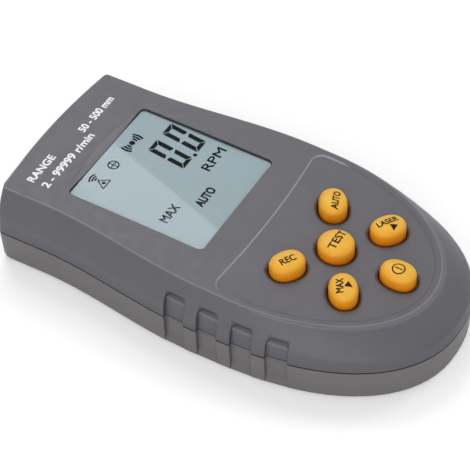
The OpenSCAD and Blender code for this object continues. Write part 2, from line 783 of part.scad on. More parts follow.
module contact(x0, x1, y) {
  translate([x0, y, contact_bottom])
    cube([x1 - x0, contact_thickness, contact_top - contact_bottom]);
}
module contact_front_bridge() {
  color("silver")
    contact(-bay_half + 0.6, cell_pitch / 2 - 1, cell_front + seat_gap);
}
module contact_front_plus() {
  color("silver")
    contact(cell_pitch / 2 + 1, bay_half - 0.6, cell_front + seat_gap);
}
module contact_rear_bridge() {
  color("silver")
    contact(-cell_pitch / 2 + 1, bay_half - 0.6, bay_rear + seat_gap);
}
module contact_rear_minus() {
  color("silver")
    contact(-bay_half + 0.6, -cell_pitch / 2 - 1, bay_rear + seat_gap);
}

// Tube along a path of points
module tube(path, r, n) {
  last = len(path) - 1;
  dirs = [for (i = [0:last]) let (d = path[min(i + 1, last)] - path[max(i - 1, 0)]) d / norm(d)];
  rings = [for (i = [0:last])
    let (u = cross(dirs[i], [0.31, 0.17, 0.94]))
    let (a = u / norm(u))
    let (b = cross(dirs[i], a))
    [for (k = [0:n - 1]) path[i] + r * (cos(360 * k / n) * a - sin(360 * k / n) * b)]];
  loft(rings);
}

// Conical coil spring along Y between two planes
module coil(x, y0, y1, r0, r1) {
  wire = 0.35;
  turns = 3.5;
  path = [for (i = [0:42]) let (t = i / 42) let (r = lerp(r0, r1, t))
    [x + r * cos(360 * turns * t), lerp(y0, y1, t), cell_z + r * sin(360 * turns * t)]];
  tube(path, wire, 6);
}
module contact_springs() {
  low = bay_rear + contact_thickness + 2 * seat_gap + 0.36;
  color("silver") {
    coil(-cell_pitch, low, cell_front - cell_length - seat_gap - 0.36, 3.6, 2.4);
    coil(cell_pitch, low, cell_front - cell_length - seat_gap - 0.36, 3.6, 2.4);
    coil(0, cell_front - 0.36, cell_back + cell_length + seat_gap + 0.36, 3.6, 2.4);
  }
}

function bezier(a, b, c, d, n) = [for (i = [0:n]) let (t = i / n)
  pow(1 - t, 3) * a + 3 * t * pow(1 - t, 2) * b + 3 * t * t * (1 - t) * c + pow(t, 3) * d];
module lead(x, y0, s) {
  y1 = y0 + s * 4.2;
  end = [x, y1, board_bottom - seat_gap];
  tube(bezier([x, y0, lead_z], [x, y0 + s * 4.6, lead_z], [x, y1, lead_z], end, 12), lead_radius, 8);
}
module lead_red() {
  color("red")
    lead(cell_pitch, cell_front + seat_gap + contact_thickness + 0.02, 1);
}
module lead_black() {
  color([0.1, 0.1, 0.1])
    lead(-cell_pitch, bay_rear + seat_gap - 0.02, -1);
}

module optics_bracket() {
  color([0.15, 0.15, 0.15])
    difference() {
      translate([0, (bracket_back + bracket_front) / 2, 0])
        rounded_box(34, bracket_front - bracket_back, 1, optics_z - 6, optics_z + 7.4);
      bar(laser_x, optics_z, laser_diameter / 2 + seat_gap, bracket_back - 1, bracket_front + 1);
      bar(receiver_x, optics_z, receiver_diameter / 2 + seat_gap - 0.8, bracket_back + 1, bracket_front + 1);
      bar(receiver_x, optics_z, receiver_diameter / 2 + seat_gap, bracket_front - 3.4, bracket_front + 1);
      bar(receiver_x, optics_z, 1.6, bracket_back - 1, bracket_front);
    }
}

module laser_barrel() {
  color("goldenrod")
    difference() {
      bar(laser_x, optics_z, laser_diameter / 2, barrel_back, barrel_front);
      bar(laser_x, optics_z, laser_bore, barrel_back - 1, barrel_front - 1);
      bar(laser_x, optics_z, laser_bore - 0.6, barrel_back, barrel_front + 1);
    }
}

// Convex lens along Y, flat side to the rear
module lens(x, r, y, edge, bulge) {
  big = (r * r + bulge * bulge) / (2 * bulge);
  translate([x, y, optics_z])
    rotate([-90, 0, 0])
      intersection() {
        cylinder(r = r, h = edge + bulge + 1, $fn = 96);
        translate([0, 0, edge + bulge - big])
          sphere(r = big, $fn = 180);
      }
}
module laser_lens() {
  color([0.85, 0.9, 0.95])
    lens(laser_x, laser_bore - seat_gap, barrel_front - 2.9, 0.9, 0.7);
}
module receiver_lens() {
  color([0.85, 0.9, 0.95])
    lens(receiver_x, receiver_diameter / 2 - seat_gap, bracket_front - 3.3, 1.6, 1.5);
}

module laser_diode() {
  color("silver")
    union() {
      bar(laser_x, optics_z, laser_bore - seat_gap, barrel_back + 0.4, barrel_back + 1.6);
      bar(laser_x, optics_z, laser_bore - 0.7, barrel_back + 1.4, barrel_back + 4);
      for (s = [-1, 1])
        bar(laser_x + s * 0.9, optics_z, 0.25, barrel_back - 2, barrel_back + 0.6);
    }
}

module photodiode() {
  color([0.1, 0.1, 0.12])
    union() {
      translate([receiver_x, bracket_back - seat_gap - 1.1, 0])
        box(5, 2.2, optics_z - 2.4, optics_z + 2.4);
      for (s = [-1, 1])
        rod([receiver_x + s * 1.27, bracket_back - seat_gap - 1.3], 0.25, optics_z + 2,
          board_bottom - seat_gap);
    }
}

module screw(p, d, head, head_h, z, l) {
  translate([p[0], p[1], z])
    difference() {
      union() {
        cylinder(r = head / 2, h = head_h, $fn = 48);
        translate([0, 0, head_h - 0.2])
          cylinder(r = d / 2, h = l + 0.2, $fn = 48);
      }
      for (a = [0, 90])
        rotate([0, 0, a])
          box(head * 0.56, 0.6, -1, 0.9);
    }
}
module case_screws() {
  color("silver")
    for (p = case_screw_at)
      screw(p, screw_diameter, screw_head, screw_head_height, screw_seat - screw_head_height - seat_gap,
        seam_height + 5.5 - screw_seat);
}
module board_screws() {
  color("silver")
    for (p = board_screw_at)
      screw(p, board_screw_diameter, board_screw_head, board_screw_head_height,
        board_bottom - board_screw_head_height - seat_gap, board_thickness + 1.9);
}

top_shell();
bottom_shell();
battery_cover();
front_window();
lcd_window();
lcd_glass();
lcd_frame();
zebra_strips();
main_board();
key_mat();
key_test();
key_rec();
key_auto();
key_max();
key_laser();
key_power();
controller_chip();
crystal();
cell_left();
cell_middle();
cell_right();
contact_front_bridge();
contact_front_plus();
contact_rear_bridge();
contact_rear_minus();
contact_springs();
lead_red();
lead_black();
optics_bracket();
laser_barrel();
laser_lens();
laser_diode();
receiver_lens();
photodiode();
case_screws();
board_screws();
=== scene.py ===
# Laser tachometer: finishes, key lips, grip run-outs, display picture, key legends,
# printed lines, studio and camera.
import json
import math

import bmesh
import bpy
from mathutils import Matrix, Vector
from mathutils.bvhtree import BVHTree


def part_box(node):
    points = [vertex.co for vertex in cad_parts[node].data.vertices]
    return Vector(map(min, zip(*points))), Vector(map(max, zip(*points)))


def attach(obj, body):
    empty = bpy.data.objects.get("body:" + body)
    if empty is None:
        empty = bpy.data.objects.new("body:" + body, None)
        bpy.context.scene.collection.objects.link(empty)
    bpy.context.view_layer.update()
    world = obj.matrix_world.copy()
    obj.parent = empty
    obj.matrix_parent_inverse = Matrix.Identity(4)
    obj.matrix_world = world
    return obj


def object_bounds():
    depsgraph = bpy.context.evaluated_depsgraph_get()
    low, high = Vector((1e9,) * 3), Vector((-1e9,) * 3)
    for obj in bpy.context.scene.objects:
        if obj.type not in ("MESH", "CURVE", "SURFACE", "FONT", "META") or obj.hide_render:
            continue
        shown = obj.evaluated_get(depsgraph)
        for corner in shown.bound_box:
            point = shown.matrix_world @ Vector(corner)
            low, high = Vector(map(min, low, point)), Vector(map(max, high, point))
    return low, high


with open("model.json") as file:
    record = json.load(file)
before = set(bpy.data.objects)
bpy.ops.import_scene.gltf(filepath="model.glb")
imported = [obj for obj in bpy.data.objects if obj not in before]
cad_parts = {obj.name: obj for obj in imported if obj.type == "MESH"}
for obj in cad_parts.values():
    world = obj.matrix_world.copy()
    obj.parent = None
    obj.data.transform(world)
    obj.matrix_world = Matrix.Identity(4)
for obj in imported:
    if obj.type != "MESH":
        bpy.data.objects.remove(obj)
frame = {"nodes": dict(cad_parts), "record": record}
cad_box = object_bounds()
nodes = frame["nodes"]
members_of = frame["record"]["behaviour"]["bodies"]
body_of = {node: body for body, members in members_of.items() for node in members}
MM = 0.001

# Camera: the photo's view. Angles in degrees, places in pixels of the 470 x 470 picture
IMAGE = 470
AZIMUTH, ELEVATION = -60.4559, 45.715
DISTANCE = 638.59 * MM
AIM = Vector((0, -0.2, 15)) * MM
AIM_PIXEL = (248.557, 231.101)
PIXELS_PER_MM = 3.71078
SENSOR = 36
CLIP_START, CLIP_END = 0.01, 20

# Sizes as in the part's source, in millimetres
CROWN_TOP, CROWN_START, CROWN_RADIUS = 24.4, 58.7, 1398.6
SEAM_TOP, SEAM_BOTTOM = 10.7, 10.35
KEY_CLEARANCE = 1.1
KEYPAD_FRONT = -13
GRIP_COUNT, GRIP_PITCH, GRIP_START, GRIP_WIDTH = 4, 10.05, 61.3, 6.2
GRIP_UPPER, GRIP_RAMP = -4, 1.5

# Tilt is the upward part of a face's normal. Pairs of a tilt and how much painted highlight
# lightens a face there
RIDGE_TILTS = ((0.55, 0), (0.62, 0.3), (0.86, 0.3), (0.9, 0),
               (0.935, 0), (0.95, 0.7), (0.985, 0.7), (0.992, 0))
KEYPAD_TILTS = ((0.68, 0), (0.69, 0.9), (0.725, 0.9), (0.735, 0))
FACET_TILTS = ((0.9, 0), (0.912, 0.34), (0.93, 0.34), (0.945, 0))

# Tilts between which a face turns from painted shade to open, or from a wall's painted light to
# the top's colour
OVERHANG_TILTS = (-0.3, -0.12)
WALL_TILTS = (0.1, 0.85)

# Painted shade and highlights on the case, and its seam colour. Lengths in millimetres
RIDGE_DEPTH, RIDGE_FADE = 0.7, 0.2
KEYPAD_FADE, KEYPAD_GAIN = 3, 1.5
FLANK_HEIGHT, FLANK_AMOUNT, FLANK_SHADE = 4, 0.4, 0.55
SEAM_SOFT = 0.06
SEAM_LIP, SEAM_LIP_SOFT = 0.25, 0.05
GRIP_BAND, GRIP_HIGHLIGHT, GRIP_SOFT = 1.0, 1.0, 0.4
GRIP_EDGE, GRIP_INSET = 0.1, 0.05
RECESS_SHADE = 0.3

# Middle of a noise, which is spread over the whole of a range
NOISE_MIDDLE = (0.3, 0.7)

# Colour sockets of a Mix node, and samples of the nodes that look around a point
MIX_A, MIX_B, MIX_RESULT = 6, 7, 2
AO_SAMPLES, BEVEL_SAMPLES = 8, 4

# Bare metal at the ends of a cell, in millimetres
CELL_BARE_END = 3.2

# Smooth shading. Angle in degrees, distance in millimetres
SMOOTH_ANGLE = 28
WELD_DISTANCE = 0.002
NORMAL_WEIGHT = 60

# Lips in the key holes: distance out from the key and height, in millimetres
LIP_PROFILE = ((1.08, 0), (0.9, -0.03), (0.68, -0.12), (0.48, -0.28),
               (0.34, -0.52), (0.25, -0.9), (0.25, -1.4), (1.08, -1.4))
LIP_RIM = 0.3
OUTLINE_DEPTH, OUTLINE_STEP = 1, 0.15

# Run-outs of the grip recesses: heights and widths in millimetres, shares of the recess's depth
FOOT_LEVELS = (0.2, 0.35, 0.55, 0.8, 1.1, 1.5, 2.0, 2.6, 3.2, 3.8)
FOOT_STEPS = 8
FOOT_INSET, FOOT_LAND = 0.02, 0.25
FOOT_DEEPEST, FOOT_BACK = 0.995, 0.999

# Print: height over the surface, height from layer to layer and longest edge, in millimetres
PRINT_LIFT, PRINT_STEP, PRINT_FINE = 0.02, 0.0015, 0.4
PRINT_CUTS = 6
LEGEND_BOLD, LINE_BOLD, ARROW_SIZE = 0.06, 0.1, 1.3
LETTER_CURVE = 4
BOLD_STEPS = ((-1, -1), (-1, 1), (1, -1), (1, 1), (-1, 0), (1, 0), (0, -1), (0, 1), (0, 0))

# Start of rays from above and from the side, outside the object, in metres
RAY_HEIGHT, RAY_SIDE = 0.1, 0.06

# Seven-segment digits, in millimetres
DIGIT_WIDTH, DIGIT_HEIGHT, DIGIT_SLANT = 4.85, 12.1, 0.106
DIGIT_BASE = -0.95
BAR_WIDE, BAR_HIGH, BAR_GAP = 1.5, 1.25, 0.2
BAR_TIP = ((0, 0.5), (0.45, 0.3), (BAR_WIDE, 0.75))

# Studio. Sizes and distances in metres, the glare on the display in pixels of the picture
WORLD_LEVEL = 0.4
FLOOR_WHITE = 0.95
FLOOR_LIFT = 0.3
FLOOR_RADIUS, FLOOR_SIDES, FLOOR_DROP = 4, 96, 0.05 * MM
CARD_SIZE, CARD_DISTANCE, CARD_RADIANCE = 0.5, 1.2, 4.5
GLARE_LINE = ((114, 143), (217, 229))
GLARE_SIDE = (110, 205)
LEVEL_TILT = 0.9

# Softboxes: direction from the object, distance, size, radiance
SOFT_LIGHTS = {
    "softbox": ((0, 0.15, 0.99), 1.2, 0.3, 1.6),
    "rear_softbox": ((0.62, -0.27, 0.74), 1.2, 0.4, 3.0),
    "fill": ((-0.86, -0.3, 0.33), 1.4, 1.4, 1.7),
}


# Camera and picking

def camera_axes():
    az, el = math.radians(AZIMUTH), math.radians(ELEVATION)
    back = Vector((math.sin(az) * math.cos(el), -math.cos(az) * math.cos(el), math.sin(el)))
    right = Vector((math.cos(az), math.sin(az), 0))
    return right, back.cross(right), back


def make_camera():
    right, up, back = camera_axes()
    data = bpy.data.cameras.new("camera")
    data.sensor_fit = "HORIZONTAL"
    data.sensor_width = SENSOR
    data.lens = SENSOR * PIXELS_PER_MM / MM * DISTANCE / IMAGE
    data.shift_x = (IMAGE / 2 - AIM_PIXEL[0]) / IMAGE
    data.shift_y = (AIM_PIXEL[1] - IMAGE / 2) / IMAGE
    data.clip_start, data.clip_end = CLIP_START, CLIP_END
    cam = bpy.data.objects.new("camera", data)
    turn = Matrix((right, up, back)).transposed().to_4x4()
    cam.matrix_world = Matrix.Translation(AIM + back * DISTANCE) @ turn
    bpy.context.scene.collection.objects.link(cam)
    bpy.context.scene.camera = cam


def pixel_ray(u, v):
    """Camera position and direction through a pixel."""
    right, up, back = camera_axes()
    eye = AIM + back * DISTANCE
    per_px = MM / PIXELS_PER_MM
    target = AIM + right * (u - AIM_PIXEL[0]) * per_px - up * (v - AIM_PIXEL[1]) * per_px
    return eye, (target - eye).normalized()


# Materials

def srgb(*levels):
    """Linear colour of a colour as it looks on screen, 0 to 255."""
    def linear(c):
        return c / 255 / 12.92 if c <= 10.3 else ((c / 255 + 0.055) / 1.055) ** 2.4
    return tuple(linear(c) for c in levels) + (1.0,)


def shade(colour, k):
    return tuple(min(1, c * k) for c in colour[:3]) + (1.0,)


def math_node(tree, operation, a, b):
    """A math node of a socket with a socket or a number."""
    node = tree.nodes.new("ShaderNodeMath")
    node.operation = operation
    tree.links.new(a, node.inputs[0])
    if isinstance(b, (int, float)):
        node.inputs[1].default_value = b
    else:
        tree.links.new(b, node.inputs[1])
    return node.outputs["Value"]


class Shader:
    """A Principled material with helpers to add procedural detail."""

    def __init__(self, name, colour, roughness, metallic=0.0, specular=0.5):
        self.mat = bpy.data.materials.new(name)
        self.mat.use_nodes = True
        self.tree = self.mat.node_tree
        self.bsdf = self.tree.nodes["Principled BSDF"]
        self.colour = colour
        self.set("Base Color", colour)
        self.set("Roughness", roughness)
        self.set("Metallic", metallic)
        self.set("Specular IOR Level", specular)
        self.coord = self.tree.nodes.new("ShaderNodeTexCoord").outputs["Object"]

    def set(self, socket, value):
        self.bsdf.inputs[socket].default_value = value
        return self

    def link(self, a, b):
        self.tree.links.new(a, b)

    def calc(self, operation, a, b):
        return math_node(self.tree, operation, a, b)

    def times(self, a, b):
        return self.calc("MULTIPLY", a, b)

    def ramp(self, value, start, end, low, high):
        """Maps a range of a value to another range."""
        node = self.tree.nodes.new("ShaderNodeMapRange")
        names = ("From Min", "From Max", "To Min", "To Max")
        for socket, number in zip(names, (start, end, low, high)):
            node.inputs[socket].default_value = number
        self.link(value, node.inputs["Value"])
        return node.outputs["Result"]

    def part_of(self, socket, axis):
        split = self.tree.nodes.new("ShaderNodeSeparateXYZ")
        self.link(socket, split.inputs["Vector"])
        return split.outputs[axis]

    def tilt(self, normal="True Normal"):
        """Upward part of a face's own normal, or of its smooth one."""
        geometry = self.tree.nodes.new("ShaderNodeNewGeometry")
        return self.part_of(geometry.outputs[normal], "Z")

    def noise(self, size, detail=2.0, stretch=(1, 1, 1)):
        """Noise with grains of a size in millimetres, 0 to 1."""
        move = self.tree.nodes.new("ShaderNodeMapping")
        move.inputs["Scale"].default_value = stretch
        tex = self.tree.nodes.new("ShaderNodeTexNoise")
        tex.inputs["Scale"].default_value = 1 / (size * MM)
        tex.inputs["Detail"].default_value = detail
        self.link(self.coord, move.inputs["Vector"])
        self.link(move.outputs["Vector"], tex.inputs["Vector"])
        return tex.outputs["Fac"]

    def mix_colour(self, fac):
        """A mix of two colours by a factor, put on the base colour."""
        node = self.tree.nodes.new("ShaderNodeMix")
        node.data_type = "RGBA"
        self.link(fac, node.inputs[0])
        self.link(node.outputs[MIX_RESULT], self.bsdf.inputs["Base Color"])
        return node.inputs[MIX_A], node.inputs[MIX_B]

    def mottle(self, size, amount, detail=3.0):
        """Colour drifts a little lighter and darker."""
        a, b = self.mix_colour(self.ramp(self.noise(size, detail), *NOISE_MIDDLE, 0, 1))
        a.default_value = shade(self.colour, 1 - amount)
        b.default_value = shade(self.colour, 1 + amount)
        return self

    def blend_over(self, fac, colour):
        """Lays a colour over the present one where a factor is 1."""
        present = self.bsdf.inputs["Base Color"].links[0].from_socket
        a, b = self.mix_colour(fac)
        self.link(present, a)
        b.default_value = colour
        return self

    def gloss_drift(self, size, low, high, stretch=(1, 1, 1)):
        """Roughness drifts between two levels."""
        drift = self.ramp(self.noise(size, 2, stretch), *NOISE_MIDDLE, low, high)
        self.link(drift, self.bsdf.inputs["Roughness"])
        return self

    def relief(self, size, depth, edge=0.0, detail=2.0, stretch=(1, 1, 1)):
        """Fine surface relief in millimetres, over edges rounded to a radius."""
        bump = self.tree.nodes.new("ShaderNodeBump")
        bump.inputs["Strength"].default_value = 1
        bump.inputs["Distance"].default_value = depth * MM
        self.link(self.noise(size, detail, stretch), bump.inputs["Height"])
        if edge:
            bevel = self.tree.nodes.new("ShaderNodeBevel")
            bevel.samples = BEVEL_SAMPLES
            bevel.inputs["Radius"].default_value = edge * MM
            self.link(bevel.outputs["Normal"], bump.inputs["Normal"])
        self.link(bump.outputs["Normal"], self.bsdf.inputs["Normal"])
        return self

    def over_crown(self):
        """Height of a point plus the fall of the crown there, so the top face is level."""
        fall = self.part_of(self.coord, "Y")
        steps = (("SUBTRACT", CROWN_START * MM), ("MINIMUM", 0), ("POWER", 2),
                 ("DIVIDE", 2 * CROWN_RADIUS * MM))
        for operation, number in steps:
            fall = self.calc(operation, fall, number)
        return self.calc("ADD", self.part_of(self.coord, "Z"), fall)

    def by_tilt(self, tilts):
        """Factor by how far a face looks up."""
        node = self.tree.nodes.new("ShaderNodeValToRGB")
        stops = node.color_ramp.elements
        stops[0].position, stops[1].position = tilts[0][0], tilts[-1][0]
        for place, _ in tilts[1:-1]:
            stops.new(place)
        for stop, (_, level) in zip(stops, tilts):
            stop.color = (level, level, level, 1)
        self.link(self.tilt(), node.inputs["Fac"])
        return node.outputs["Color"]

    def painted_ridge_highlight(self, gain):
        """Painted highlights on the narrow sloping faces at the edge of the top face and at the
        front of the keypad."""
        low = (CROWN_TOP - RIDGE_DEPTH) * MM
        near_top = self.ramp(self.over_crown(), low, low + RIDGE_FADE * MM, 0, 1)
        self.blend_over(self.times(self.by_tilt(RIDGE_TILTS), near_top), shade(self.colour, gain))
        front = self.ramp(self.part_of(self.coord, "Y"),
                          (KEYPAD_FRONT - KEYPAD_FADE) * MM, KEYPAD_FRONT * MM, 0, 1)
        edge = self.times(self.times(self.by_tilt(KEYPAD_TILTS), near_top), front)
        return self.blend_over(edge, shade(self.colour, gain * KEYPAD_GAIN))

    def painted_facet_highlight(self, gain):
        """Painted highlight on the sloping crescent in front of the display, a little lighter."""
        return self.blend_over(self.by_tilt(FACET_TILTS), shade(self.colour, gain))

    # Painted shade: takes the colour down to RECESS_SHADE of itself where a factor is 1
    def paint_shade(self, fac):
        return self.blend_over(fac, shade(self.colour, RECESS_SHADE))

    def crevice_shade(self, reach, amount, deep=0.2, open_air=0.72):
        """Painted shade, darker in corners, gaps and recesses within a reach in millimetres."""
        ao = self.tree.nodes.new("ShaderNodeAmbientOcclusion")
        ao.samples = AO_SAMPLES
        ao.inputs["Distance"].default_value = reach * MM
        return self.paint_shade(self.ramp(ao.outputs["AO"], deep, open_air, amount, 0))

    def overhang_shade(self, amount):
        """Painted shade where a face leans over, as at the upper end of a grip recess."""
        return self.paint_shade(self.ramp(self.tilt(), *OVERHANG_TILTS, amount, 0))

    def inside_grips(self):
        """1 along the grip recesses and 0 between them."""
        along = self.part_of(self.coord, "Y")
        inside = None
        for y in grip_places():
            off = along
            for operation, number in (("SUBTRACT", y * MM), ("ABSOLUTE", 0),
                                      ("LESS_THAN", (GRIP_WIDTH / 2 - GRIP_INSET) * MM)):
                off = self.calc(operation, off, number)
            inside = off if inside is None else self.calc("ADD", off, inside)
        return inside

    def grip_shade(self, amount, gain):
        """A painted shadow band and a painted highlight along its lower edge at the upper ends
        of the grip recesses.
        """
        high = self.over_crown()
        top = CROWN_TOP + GRIP_UPPER
        band = top - GRIP_RAMP - GRIP_BAND

        def between(rise, fall, level):
            up = self.ramp(high, rise[0] * MM, rise[1] * MM, 0, level)
            return self.times(up, self.ramp(high, fall[0] * MM, fall[1] * MM, 1, 0))

        shaded = between((band, band + GRIP_SOFT), (top - GRIP_EDGE, top), amount)
        painted_highlight = between((band - GRIP_HIGHLIGHT, band - GRIP_SOFT),
                       (band - GRIP_EDGE, band + GRIP_EDGE), 1)
        inside = self.inside_grips()
        self.blend_over(self.times(painted_highlight, inside), shade(self.colour, gain))
        return self.paint_shade(self.times(shaded, inside))

    def by_height(self, low, high, at_low, at_high, colour):
        """A colour laid on by height in millimetres."""
        height = self.part_of(self.coord, "Z")
        return self.blend_over(self.ramp(height, low * MM, high * MM, at_low, at_high), colour)

    def painted_wall_light(self, colour):
        """Painted light on walls: another colour on walls than on faces that look up, for the
        light that shines through a translucent wall and the shade on it.
        """
        return self.blend_over(self.ramp(self.tilt("Normal"), *WALL_TILTS, 1, 0), colour)

    def painted_shade_below(self, height, fade, colour):
        """Painted shade: another colour below a height over the crown of the top face, in
        millimetres.
        """
        low = (CROWN_TOP + height) * MM
        return self.blend_over(self.ramp(self.over_crown(), low - fade * MM, low, 1, 0), colour)


def grip_places():
    """Places of the grip recesses along the case, in millimetres."""
    first = cad_box[1][1] / MM - GRIP_START
    return [first - i * GRIP_PITCH for i in range(GRIP_COUNT)]


def moulded(name, colour, roughness=0.5, grain=0.35, depth=0.008, edge=0.15):
    """Moulded plastic with a fine spark-eroded texture."""
    s = Shader(name, colour, roughness, specular=0.4)
    s.mottle(9, 0.03).gloss_drift(3, roughness - 0.05, roughness + 0.05)
    return s.relief(grain, depth, edge)


def plastic(*look, **detail):
    return moulded(*look, **detail).mat


def metal(name, colour, roughness, stretch=(1, 1, 1), depth=0.004):
    s = Shader(name, colour, roughness, metallic=1.0)
    s.mottle(3, 0.06).gloss_drift(1.5, roughness * 0.8, roughness * 1.25, stretch)
    return s.relief(0.3, depth, 0.08, 2, stretch).mat


def cell_material():
    """Printed sleeve on a cell, with bare metal at both ends."""
    s = Shader("cell_can", srgb(40, 74, 98), 0.3).mottle(6, 0.05)
    low, high = (corner.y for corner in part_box("cell_middle"))
    along = s.part_of(s.coord, "Y")
    bare = s.calc("MAXIMUM", s.calc("LESS_THAN", along, low + CELL_BARE_END * MM),
                  s.calc("GREATER_THAN", along, high - CELL_BARE_END * MM))
    s.blend_over(bare, srgb(198, 198, 200))
    s.link(bare, s.bsdf.inputs["Metallic"])
    return s.relief(0.5, 0.003, 0.1).mat


def make_materials():
    m = {}
    top, bottom, seam = srgb(95, 94, 100), srgb(108, 104, 105), srgb(56, 53, 53)
    lip_bottom = SEAM_BOTTOM - SEAM_LIP
    m["case_top"] = (moulded("case_top", top, 0.45, edge=0.3)
                     # painted shade on the flank just above the seam
                     .by_height(SEAM_TOP, SEAM_TOP + FLANK_HEIGHT, FLANK_AMOUNT, 0,
                                shade(top, FLANK_SHADE))
                     # painted shade in corners and under overhangs, painted shadow and highlight
                     # at the grips, painted highlights on the ridge and the facet
                     .crevice_shade(2.2, 0.65).crevice_shade(0.7, 0.5, 0.6, 0.96).overhang_shade(0.7)
                     .grip_shade(0.5, 1.4).painted_ridge_highlight(2.2).painted_facet_highlight(2.2)
                     .by_height(SEAM_TOP, SEAM_TOP + SEAM_SOFT, 1, 0, seam)
                     .by_height(lip_bottom, lip_bottom + SEAM_LIP_SOFT, 1, 0, bottom).mat)
    m["case_lip"] = (moulded("case_lip", top, 0.5, edge=0)
                     # painted shade, tinted by the orange keys, down in the key holes
                     .painted_shade_below(-0.02, 0.5, srgb(84, 66, 56)).mat)
    # painted shade in corners and gaps of the lower case and the grip run-outs
    m["case_foot"] = moulded("case_foot", bottom, 0.5, edge=0).crevice_shade(1.6, 0.6).mat
    m["case_bottom"] = (moulded("case_bottom", bottom, 0.5, edge=0.25).crevice_shade(1.6, 0.6)
                        .by_height(SEAM_BOTTOM - SEAM_SOFT, SEAM_BOTTOM, 0, 1, seam).mat)
    m["key_orange"] = (Shader("key_orange", srgb(255, 190, 62), 0.42, specular=0.35)
                       .set("Subsurface Weight", 0.4).set("Subsurface Scale", 0.002)
                       .mottle(2.5, 0.03).gloss_drift(1.2, 0.38, 0.48).relief(0.25, 0.004)
                       # painted light and shade: deeper orange on the walls and lower down, dark
                       # brown down in the holes
                       .painted_wall_light(srgb(253, 168, 32))
                       .painted_shade_below(1.3, 1.6, srgb(246, 144, 14))
                       .painted_shade_below(-0.5, 0.9, srgb(130, 78, 36)).mat)
    m["dark_filter"] = (Shader("dark_filter", srgb(22, 18, 20), 0.06, specular=0.55)
                        .mottle(6, 0.1).gloss_drift(8, 0.04, 0.09).relief(4, 0.002, 0.15).mat)
    m["clear_window"] = (Shader("clear_window", srgb(70, 80, 84), 0.05)
                         .set("Alpha", 0.03).mottle(8, 0.02).gloss_drift(10, 0.03, 0.06).mat)
    m["display"] = (Shader("display", srgb(164, 185, 192), 0.35, specular=0.2)
                    .set("Coat Weight", 0.4).set("Coat Roughness", 0.02)
                    .mottle(14, 0.02).relief(0.12, 0.0015).mat)
    m["frame_plastic"] = plastic("frame_plastic", srgb(214, 214, 208), 0.5)
    m["elastomer"] = plastic("elastomer", srgb(206, 160, 158), 0.7, 0.2)
    m["board"] = (Shader("board", srgb(28, 84, 48), 0.35)
                  .mottle(1.8, 0.18, 5).gloss_drift(2, 0.28, 0.45).relief(0.4, 0.01, 0.1).mat)
    m["silicone"] = plastic("silicone", srgb(188, 188, 184), 0.62, 0.3)
    m["chip_black"] = plastic("chip_black", srgb(30, 30, 32), 0.55, 0.15)
    m["can_metal"] = metal("can_metal", srgb(200, 200, 202), 0.28)
    m["cell_can"] = cell_material()
    m["contact_metal"] = metal("contact_metal", srgb(206, 204, 198), 0.3, (1, 1, 0.1))
    m["red_sleeve"] = plastic("red_sleeve", srgb(178, 32, 28), 0.42, 0.3)
    m["black_sleeve"] = plastic("black_sleeve", srgb(26, 26, 28), 0.42, 0.3)
    m["black_plastic"] = plastic("black_plastic", srgb(34, 34, 36), 0.5)
    m["barrel_brass"] = metal("barrel_brass", srgb(212, 172, 92), 0.25, (1, 0.1, 1))
    m["optic_glass"] = (Shader("optic_glass", srgb(226, 234, 240), 0.03)
                        .set("Alpha", 0.35).mottle(4, 0.03).gloss_drift(5, 0.02, 0.04).mat)
    m["screw_steel"] = metal("screw_steel", srgb(170, 170, 172), 0.32)
    m["black_ink"] = (Shader("black_ink", srgb(48, 24, 6), 0.6, specular=0.08)
                      .mottle(0.8, 0.2).mat)
    m["white_ink"] = Shader("white_ink", srgb(253, 253, 254), 0.5).mottle(0.8, 0.03).mat
    m["segment"] = (Shader("segment", srgb(8, 10, 13), 0.5, specular=0.05)
                    .set("Coat Weight", 0.03).set("Coat Roughness", 0.02).mottle(3, 0.12).mat)
    return m


NODE_FINISH = {
    "top_shell": "case_top", "bottom_shell": "case_bottom", "battery_cover": "case_bottom",
    "front_window": "dark_filter", "lcd_window": "clear_window", "lcd_glass": "display",
    "lcd_frame": "frame_plastic", "zebra_strips": "elastomer", "main_board": "board",
    "key_mat": "silicone", "controller_chip": "chip_black", "crystal": "can_metal",
    "cell_left": "cell_can", "cell_middle": "cell_can", "cell_right": "cell_can",
    "lead_red": "red_sleeve", "lead_black": "black_sleeve", "optics_bracket": "black_plastic",
    "laser_barrel": "barrel_brass", "laser_lens": "optic_glass", "receiver_lens": "optic_glass",
    "laser_diode": "can_metal", "photodiode": "chip_black", "case_screws": "screw_steel",
    "board_screws": "screw_steel",
}


def finish_of(name):
    if name.startswith("key_") and name != "key_mat":
        return "key_orange"
    if name.startswith("contact_"):
        return "contact_metal"
    return NODE_FINISH[name]


# Smooth shading for the CAD meshes

